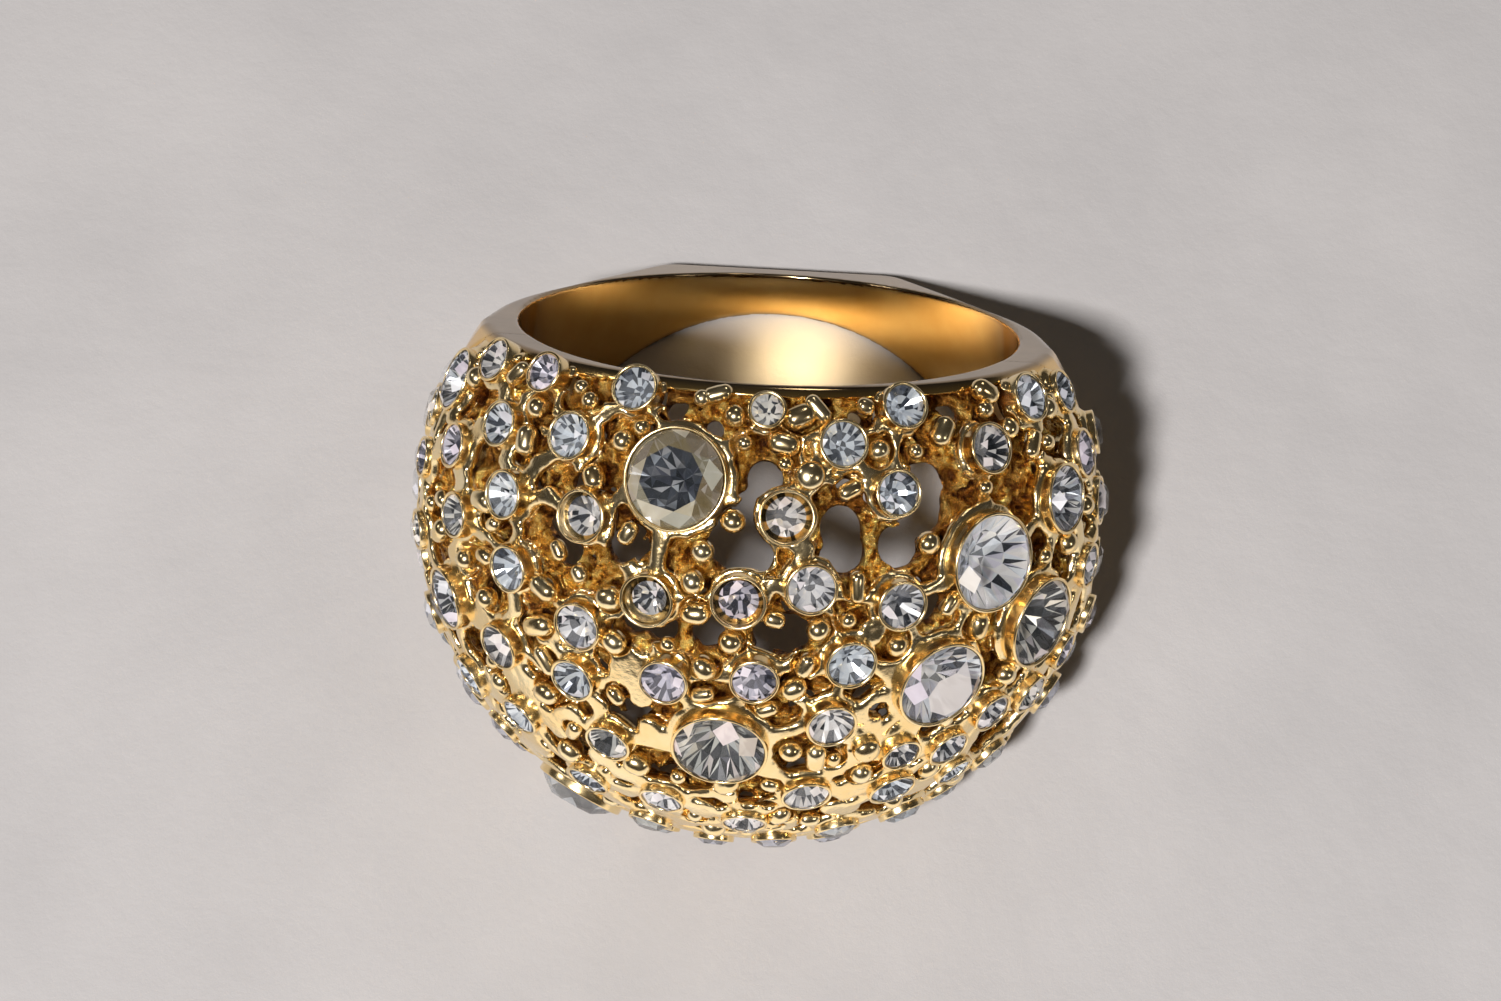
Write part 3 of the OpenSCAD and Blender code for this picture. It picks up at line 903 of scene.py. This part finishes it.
def exact_piece(name, distance, low, high, step, node):
    """Meshes a distance function on a grid, and moves its points and normals on to its zero level."""
    field = Field(low, high, step)
    x, y, z = np.meshgrid(*field.axes, indexing="ij")
    field.d = distance(np.stack([x, y, z], -1)).astype(np.float32)
    points, quads = field.surface()
    nudge = 0.004
    for _ in range(4):
        slope = np.stack([(distance(points + nudge * e) - distance(points - nudge * e)) / (2 * nudge)
                          for e in np.eye(3)], -1)
        size2 = np.maximum((slope ** 2).sum(-1), 0.05)
        move = (distance(points) / size2)[:, None] * slope
        points = points - np.clip(move, -0.05, 0.05)
    normals = slope / np.maximum(np.linalg.norm(slope, axis=1), 1e-9)[:, None]
    # How near each point lies to a rim: there the band's colour gets the rims' painted dark reflection
    rim_shade_share = np.clip((over_rim(points[:, 1], np.abs(points[:, 2])) + 0.25) / 0.2, 0, 1)
    make_piece(name, points, quads.tolist(), [BAND], [node],
               marks={"rim": rim_shade_share}, normals=normals)


def build_band():
    """The band and its two rims, which mirror each other."""
    exact_piece("band", band_distance, (-13, -4.4, -8.2), (13, 11, 8.2), 0.12, "shank")
    for name, side in (("upper", 1), ("lower", -1)):
        low, high = sorted((4.4 * side, 12.6 * side))
        exact_piece(f"{name}_rim", lambda p: rail_distance(p, side), (-12.6, -15.4, low),
                    (12.6, 0.8, high), 0.1, f"{name}_rail")


# ---- cups, crystals and grains


def tube_quads(rows, turns):
    """The quads between rings of points that follow each other, rows of quads high."""
    k = np.arange(turns)
    after = (k + 1) % turns
    return np.concatenate([np.stack([i * turns + k, i * turns + after,
                                     (i + 1) * turns + after, (i + 1) * turns + k], 1)
                           for i in range(rows)])


def lathe(profile, n, turns, wobble):
    """Points and quads of a profile of (radius, reach) pairs turned, a little unevenly, round n."""
    u, v = axes_at(n, rng.uniform(0, 2 * math.pi))
    angle = np.arange(turns) * 2 * math.pi / turns
    phase = rng.uniform(0, 2 * math.pi, 3)
    swell = sum(np.sin((k + 2) * angle + phase[k]) for k in range(3)) / 3
    points = []
    for r, t in profile:
        ring = (r + wobble * swell)[:, None] * (np.cos(angle)[:, None] * u + np.sin(angle)[:, None] * v)
        points.append(DOME + n * t + ring)
    return np.concatenate(points), tube_quads(len(profile) - 1, turns)


def merge(parts):
    """Joins (points, quads) pairs into one set of points and one list of faces."""
    points, faces, base = [], [], 0
    for p, f in parts:
        points.append(p)
        faces.append(f + base)
        base += len(p)
    return np.concatenate(points), np.concatenate(faces).tolist()


# A medium or large stone has a radius above this
WIDE = 0.9


def stone_sink(cup):
    """How much deeper than the CAD a crystal sits, in a cup much wider than itself."""
    return 0.3 if cup["r"] - cup["stone"]["r"] > 0.24 and cup["r"] < 1.4 else 0.0


def stone_radius(stone):
    """A crystal's radius as it shows: it fills its cup, except in a cup much wider than itself."""
    cup = stone["cup"]
    return stone["r"] if stone_sink(cup) else max(stone["r"], cup["r"] - 0.12)


def cup_parts(cup):
    """Points and quads of a bezel cup: a turned wall with a rounded lip and a seat for its stone."""
    wall = 0.11
    r, lip = cup["r"], cup["top"]
    stone = cup["stone"]
    held = stone_radius(stone)
    seat = stone["wide"] - stone_sink(cup)
    bend = wall / 2
    arc = [(r - bend + bend * math.cos(a), lip - bend + bend * math.sin(a))
           for a in np.radians(np.arange(0, 181, 30))]
    inner = r - wall
    profile = [(r - 0.02, cup["base"]), (r, lip - 0.45), (r, lip - 0.2)] + arc
    profile += [(inner, lip - 0.12), (inner, seat - 0.02), (held * 0.99, seat - 0.05),
                (held * 0.7, seat - held * 0.34), (held * 0.68, cup["base"])]
    profile.append(profile[0])
    return lathe(profile, cup["n"], 48, 0.008)


def brilliant(stone):
    """A round brilliant: table, stars, kites and girdle facets above, foiled pavilion below.

    Gives its points, its faces and each face's kind: table, crown or foil.
    """
    cup = stone["cup"]
    r = stone_radius(stone)
    n = stone["n"]
    crown = 0.42 * stone["r"]
    table = (0.66 if cup["r"] > 1.72 else 0.56) * r
    star = (table + r) / 2 + 0.02 * r
    eighth = math.pi / 4
    star_z = crown * (r - star * math.cos(eighth / 2)) / (r - table)
    deep = 0.72 * r
    u, v = axes_at(n, rng.uniform(0, eighth))
    lean = rng.normal(0, 0.02, 2)
    points, faces, kinds = [], [], []

    def put(radius, turn, height):
        flat = radius * (math.cos(turn) * u + math.sin(turn) * v)
        points.append(flat + n * (height + lean[0] * flat @ u + lean[1] * flat @ v))
        return len(points) - 1

    def ring(count, radius, phase, height):
        return [put(radius, (i + phase) * 2 * math.pi / count, height) for i in range(count)]

    def facet(kind, *corners):
        """Adds a facet. A wide stone's foil facets are split into shards, each with its own painted
        reflection.
        """
        if kind == "foil" and r > WIDE:
            share = rng.dirichlet([2.0] * len(corners))
            points.append(sum(points[c] * part for c, part in zip(corners, share)))
            shards = [[len(points) - 1, a, b] for a, b in zip(corners, corners[1:] + corners[:1])]
        else:
            shards = [list(corners)]
        faces.extend(shards)
        kinds.extend([kind] * len(shards))

    # The crown
    tables = ring(8, table, 0, crown)
    stars = ring(8, star, 0.5, star_z)
    tops = ring(32, r * 0.995, 0, 0.05 * r)
    bottoms = ring(32, r * 0.995, 0, 0.0)
    facet("table", *tables)
    for i in range(8):
        after = (i + 1) % 8
        facet("crown", tables[i], stars[i], tables[after])
        facet("crown", tables[i], stars[i - 1], tops[4 * i], stars[i])
        facet("crown", stars[i], *[tops[4 * i + k] for k in range(3)])
        facet("crown", stars[i], *[tops[(4 * i + 2 + k) % 32] for k in range(3)])
    # The girdle
    for i in range(32):
        after = (i + 1) % 32
        facet("foil", tops[i], bottoms[i], bottoms[after], tops[after])
    # The pavilion
    inner = ring(8, 0.26 * r, 0.5, -0.76 * deep)
    outer = ring(16, 0.60 * r, 0.5, -0.43 * deep)
    culet = put(0.0, 0.0, -deep)
    for i in range(8):
        a, b = 2 * i, 2 * i + 1
        c = (a + 2) % 16
        facet("foil", culet, inner[i - 1], inner[i])
        facet("foil", inner[i], outer[a], outer[b])
        facet("foil", inner[i], outer[b], outer[c], inner[(i + 1) % 8])
    for i in range(16):
        a = 2 * i
        facet("foil", outer[i], bottoms[a], bottoms[a + 1])
        facet("foil", outer[i], bottoms[a + 1], bottoms[(a + 2) % 32])
        facet("foil", outer[i], bottoms[(a + 2) % 32], outer[(i + 1) % 16])
    place = DOME + n * (stone["wide"] - stone_sink(cup))
    return np.array(points) + place, faces, kinds


# Faint tints of the facets: cool, warm and lilac
TINTS = [(0.93, 0.97, 1.0), (1.0, 0.98, 0.97), (1.0, 0.96, 0.92), (1.0, 0.97, 0.90), (0.90, 0.95, 1.0),
         (0.97, 0.92, 1.0)]
# How many of a large stone's facets get a painted dark reflection, where it differs from the others
DARK_REFLECTION_SHARES = {"crystal_crest": 0.6, "crystal_chin": 0.66, "crystal_right_brow": 0.15,
               "crystal_right_flank": 0.66, "crystal_right_low": 0.4}
# Two large stones look faintly straw-coloured
STRAW_STONES = ("crystal_chin", "crystal_right_flank")
STRAW = np.array([1.0, 0.95, 0.85])


def facet_look(node, kind, low):
    """Which material a facet has. low is true for a stone that faces the table."""
    if kind == "foil":
        return FOIL
    if kind == "crown" and node == "crystal_crest":
        return AMBER
    # A stone that faces the table gets the crown with painted shade
    if low:
        return SHADED_CROWN
    # The large low right stone's table, and a few crown facets, get the painted reflection
    if kind == "table":
        return PAINTED_FLASH if node == "crystal_right_low" else CLEAR
    return PAINTED_FLASH if rng.rand() < 0.16 else CLEAR


def paint_facet_reflection(node, kind, dark):
    """A facet's painted reflection: a share of them painted dark, the others painted silver or white.
    The crest's foil is painted dim.
    """
    dim = kind == "foil" and node == "crystal_crest"
    if rng.rand() < (0.76 if dim else dark):
        return rng.uniform(0.0, 0.28)
    return rng.uniform(0.25, 0.75) if dim else rng.uniform(0.6, 1.1)


def build_crystals():
    """The crystals of each node in one piece, with a painted reflection, a tint and a look for each
    facet.
    """
    for node, group in stones.items():
        points, faces, looks, painted_reflections, tints = [], [], [], [], []
        for stone in group:
            base = len(points)
            p, f, kinds = brilliant(stone)
            points.extend(p)
            faces.extend([[base + k for k in face] for face in f])
            dark = DARK_REFLECTION_SHARES.get(node, rng.uniform(0.4, 0.6))
            low = node == "crystal_left_foot" or (stone["n"] @ TURN)[2] < -0.1
            tint = TINTS[rng.randint(len(TINTS))]
            for kind in kinds:
                painted_reflections.append(paint_facet_reflection(node, kind, dark))
                if stone["r"] > WIDE:
                    tint = TINTS[rng.randint(len(TINTS))]
                tints.append((*(STRAW * tint if node in STRAW_STONES else tint), 1.0))
                looks.append(CRYSTAL_LOOKS.index(facet_look(node, kind, low)))
        piece = make_piece(node.replace("crystal", "brilliant"), np.array(points), faces,
                           CRYSTAL_LOOKS, [node], smooth=False, marks={"facet_reflection": painted_reflections, "tint": tints})
        shape = bmesh.new()
        shape.from_mesh(piece.data)
        for face, look in zip(shape.faces, looks):
            face.material_index = look
        bmesh.ops.recalc_face_normals(shape, faces=shape.faces)
        shape.to_mesh(piece.data)
        shape.free()


def build_cups():
    for node, group in cups.items():
        points, faces = merge([cup_parts(cup) for cup in group])
        make_piece(node.replace("cup", "bezel"), points, faces, [CUP], [node], weld=True)


def bead(centre, n, r, long_way, stretch):
    """A slightly uneven round grain, longer along one way across the dome."""
    rows, turns = 10, 20
    side = np.cross(n, long_way)
    dent = rng.uniform(-0.05, 0.05, 3)
    points = []
    for i in range(rows + 1):
        up = math.pi * i / rows
        for j in range(turns):
            turn = 2 * math.pi * j / turns
            a, b, c = math.sin(up) * math.cos(turn), math.sin(up) * math.sin(turn), math.cos(up)
            swell = 1 + dent[0] * math.sin(2 * turn + 1) * math.sin(up) + dent[1] * a + dent[2] * b
            a = a * r * swell + math.copysign(stretch, a) * min(1, abs(a) * 6)
            points.append(centre + long_way * a + side * b * r * swell + n * c * r)
    return np.array(points), tube_quads(rows, turns)[:, [0, 3, 2, 1]]


def build_grains():
    for node, group in grains.items():
        parts = []
        for site in group:
            n = site["n"]
            way, _ = axes_at(n, rng.uniform(0, math.pi))
            stretch = max(0.0, rng.normal(0.05, 0.12))
            r = site["r"] * rng.uniform(1.02, 1.18)
            parts.append(bead(on_skin(n, GRAIN_HEIGHT), n, r, way, stretch))
        points, faces = merge(parts)
        make_piece(node.replace("grains", "beads"), points, faces, [GRAIN], [node], weld=True)


def build_studs():
    parts = []
    for stud in studs:
        r, top = stud["r"], stud["top"]
        profile = [(r - 0.02, stud["base"]), (r, top - 0.5)]
        profile += [(r * math.cos(a), top - 0.34 + 0.34 * math.sin(a))
                    for a in np.radians(range(0, 90, 12))]
        profile += [(0.0, top), (0.0, stud["base"]), profile[0]]
        parts.append(lathe(profile, stud["n"], 40, 0.01))
    points, faces = merge(parts)
    make_piece("studs", points, faces, [GRAIN], ["gold_studs"], weld=True)


build_web()
build_band()
build_cups()
build_crystals()
build_grains()
build_studs()

# ---- floor, lights and camera


def build_floor():
    """A wide sheet of paper, a hair under the ring so that no faces share a plane."""
    mesh = bpy.data.meshes.new("floor")
    half = 1.5
    corners = [(-half, -half, 0), (half, -half, 0), (half, half, 0), (-half, half, 0)]
    mesh.from_pydata(corners, [], [(0, 1, 2, 3)])
    floor = add_object("floor", mesh)
    mesh.materials.append(paper())
    floor.location = (0, 0, -0.00002)


def build_light(name, place, aim, power, size, colour, gloss_only=False):
    """An area light in watts and metres. One that is gloss_only doesn't light matt surfaces."""
    data = bpy.data.lights.new(name, "AREA")
    data.energy = power
    data.size = size
    data.color = colour
    light = add_object(name, data)
    light.location = place
    light.rotation_euler = (Vector(aim) - Vector(place)).to_track_quat("-Z", "Y").to_euler()
    light.visible_diffuse = not gloss_only
    return light


def build_world():
    world = bpy.data.worlds.new("studio")
    world.use_nodes = True
    background = world.node_tree.nodes["Background"]
    background.inputs["Color"].default_value = (1.0, 0.96, 0.91, 1)
    background.inputs["Strength"].default_value = 0.04
    bpy.context.scene.world = world


def build_camera():
    """The viewing angle: a rise over the hole's mid-plane, a small turn and a small roll."""
    rise, turn, roll = math.radians(40.02), math.radians(2.03), math.radians(1.887)
    distance = 120.0
    back = np.array([math.sin(turn) * math.cos(rise), -math.cos(turn) * math.cos(rise), math.sin(rise)])
    right = np.array([math.cos(turn), math.sin(turn), 0.0])
    up = np.cross(back, right)
    across = math.cos(roll) * right + math.sin(roll) * up
    upward = -math.sin(roll) * right + math.cos(roll) * up
    data = bpy.data.cameras.new("camera")
    data.lens = 76.53
    data.sensor_width = 36.0
    data.shift_x = -0.0098
    data.shift_y = -0.0387
    data.clip_start = 0.005
    camera = add_object("camera", data)
    place = to_row(back * distance)
    ways = [w @ TURN for w in (across, upward, back)]
    camera.matrix_world = Matrix([[ways[0][i], ways[1][i], ways[2][i], place[i]] for i in range(3)]
                                 + [[0, 0, 0, 1]])
    bpy.context.scene.camera = camera


bpy.context.scene.view_settings.view_transform = "Standard"
build_floor()
build_world()
build_light("key", (-0.12, -0.26, 0.47), (0, 0, 0.006), 3.3, 0.05, (1.0, 0.975, 0.95))
for name, place, power in (("left_fill", (-0.42, 0.08, 0.34), 0.20),
                           ("back_fill", (0.10, 0.40, 0.42), 0.20),
                           ("right_fill", (0.40, -0.22, 0.30), 0.17)):
    build_light(name, place, (0, 0, 0.008), power, 0.10, (1.0, 0.97, 0.93), gloss_only=True)
# A weak warm light inside the hole, for the gold that the band throws on the paper
glow = build_light("ring_glow", to_row([1.0, 5.2, 2.2]), to_row([1.0, 7.3, -2.0]), 0.00008, 0.003,
                   (1.0, 0.76, 0.42))
glow.data.spread = math.radians(50)
glow.visible_camera = False
# A card of light on the floor in front, for the pale table that the ring's underside reflects
card = build_light("bounce_card", (0.0, -0.080, 0.0005), (0.0, -0.080, 1.0), 0.024, 0.13,
                   (1.0, 0.95, 0.86), gloss_only=True)
card.visible_camera = False
build_camera()
